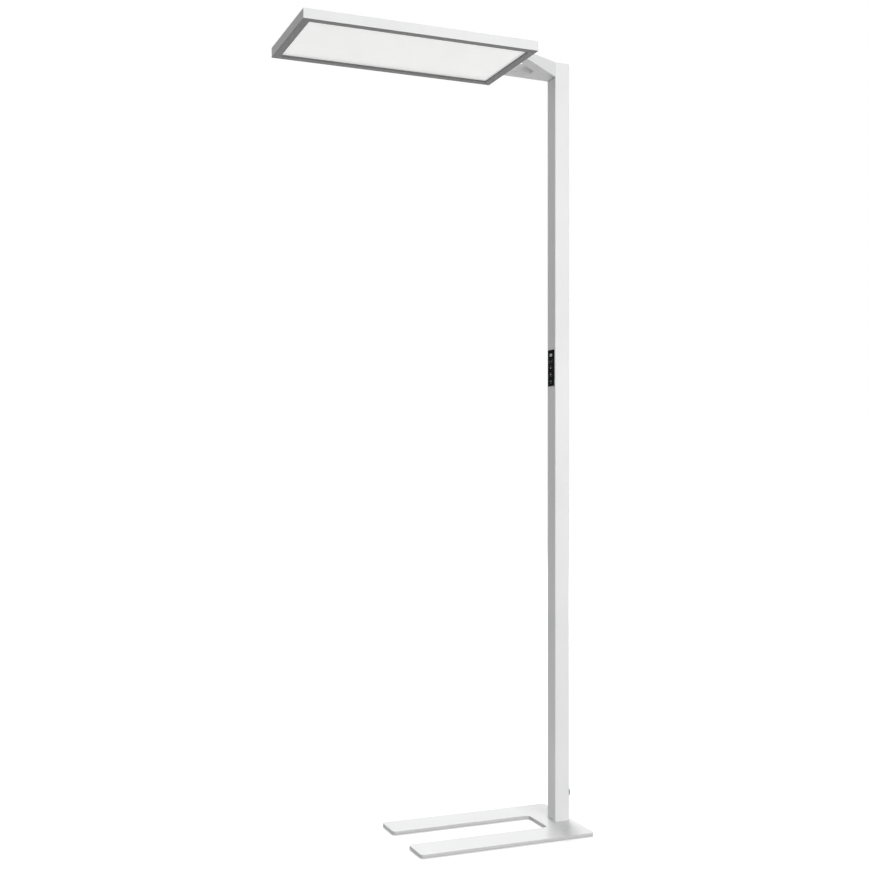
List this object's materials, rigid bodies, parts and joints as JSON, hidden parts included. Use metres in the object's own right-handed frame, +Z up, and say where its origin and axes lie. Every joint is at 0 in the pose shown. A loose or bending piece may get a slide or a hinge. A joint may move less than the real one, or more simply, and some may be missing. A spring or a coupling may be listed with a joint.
{
  "type": "led floor lamp",
  "caption": "Office floor lamp: U-shaped base plate, box-section pole, rigid fork and flat rectangular LED head with up and down light, control panel with keys and display.",
  "frame": {"origin": "on the floor, under the middle of the lamp's outline", "axes": "+Z up, -Y the front with the control panel and the head, X across, mirror plane at X = 0"},
  "size_m": [0.296, 0.745, 1.95],
  "materials": {
    "silver_coat": "satin silver powder coat on aluminium",
    "end_silver": "satin darker silver powder coat on aluminium",
    "rim_grey": "satin dark grey coat",
    "base_coat": "satin silver powder coat on steel plate",
    "top_coat": "satin light silver coat on sheet",
    "channel_white": "matt white coat on folded sheet",
    "opal_down": "opal, lit from inside",
    "opal_up": "opal, lit from inside",
    "clear_acrylic": "clear, polished edges",
    "reflector_film": "matt white film",
    "panel_black": "polished black",
    "key_black": "polished black",
    "lcd_glass": "green-grey liquid crystal display",
    "inlet_black": "fine-textured black",
    "inner_black": "moulded black",
    "pad_rubber": "matt black",
    "screw_steel": "zinc plated",
    "bare_aluminium": "mill finish",
    "led_board": "white solder mask",
    "control_laminate": "green solder mask",
    "pin_metal": "nickel plated",
    "white_case": "moulded white",
    "lead_sheath": "black sheath"
  },
  "bodies": {
    "lamp": {"pole": "silver_coat", "fork": "silver_coat", "fork_cover": "silver_coat", "head_rail_left": "silver_coat", "head_rail_right": "silver_coat", "head_rail_front": "end_silver", "head_rail_rear": "end_silver", "rim_strips": "rim_grey", "base_plate": "base_coat", "top_cover": "top_coat", "channel_left": "channel_white", "channel_right": "channel_white", "downlight_panel": "opal_down", "uplight_panel": "opal_up", "light_guide": "clear_acrylic", "reflector": "reflector_film", "panel_plate": "panel_black", "display": "lcd_glass", "power_inlet": "inlet_black", "control_housing": "inner_black", "key_switches": "inner_black", "foot_pads": "pad_rubber", "cable_grommet": "pad_rubber", "base_screws": "screw_steel", "foot_set_screws": "screw_steel", "fork_set_screws": "screw_steel", "head_screws": "screw_steel", "board_screws": "screw_steel", "driver_screws": "screw_steel", "foot_block": "bare_aluminium", "corner_keys": "bare_aluminium", "mid_plate": "bare_aluminium", "driver_carrier": "bare_aluminium", "downlight_strips": "led_board", "uplight_boards": "led_board", "control_board": "control_laminate", "inlet_pins": "pin_metal", "driver": "white_case", "head_terminal": "white_case", "mains_lead": "lead_sheath", "control_lead": "lead_sheath", "head_lead": "lead_sheath"},
    "key_presence": {"key_presence": "key_black"},
    "key_daylight": {"key_daylight": "key_black"},
    "key_uplight": {"key_uplight": "key_black"},
    "key_both": {"key_both": "key_black"},
    "key_downlight": {"key_downlight": "key_black"}
  },
  "joints": [
    {"name": "key_presence_press", "type": "slide", "parent": "lamp", "child": "key_presence", "axis": [0, 1, 0], "range_m": [0, 0.0006], "stiffness_N_per_m": 1000, "springref_m": -0.001},
    {"name": "key_daylight_press", "type": "slide", "parent": "lamp", "child": "key_daylight", "axis": [0, 1, 0], "range_m": [0, 0.0006], "stiffness_N_per_m": 1000, "springref_m": -0.001},
    {"name": "key_uplight_press", "type": "slide", "parent": "lamp", "child": "key_uplight", "axis": [0, 1, 0], "range_m": [0, 0.0006], "stiffness_N_per_m": 1000, "springref_m": -0.001},
    {"name": "key_both_press", "type": "slide", "parent": "lamp", "child": "key_both", "axis": [0, 1, 0], "range_m": [0, 0.0006], "stiffness_N_per_m": 1000, "springref_m": -0.001},
    {"name": "key_downlight_press", "type": "slide", "parent": "lamp", "child": "key_downlight", "axis": [0, 1, 0], "range_m": [0, 0.0006], "stiffness_N_per_m": 1000, "springref_m": -0.001}
  ]
}
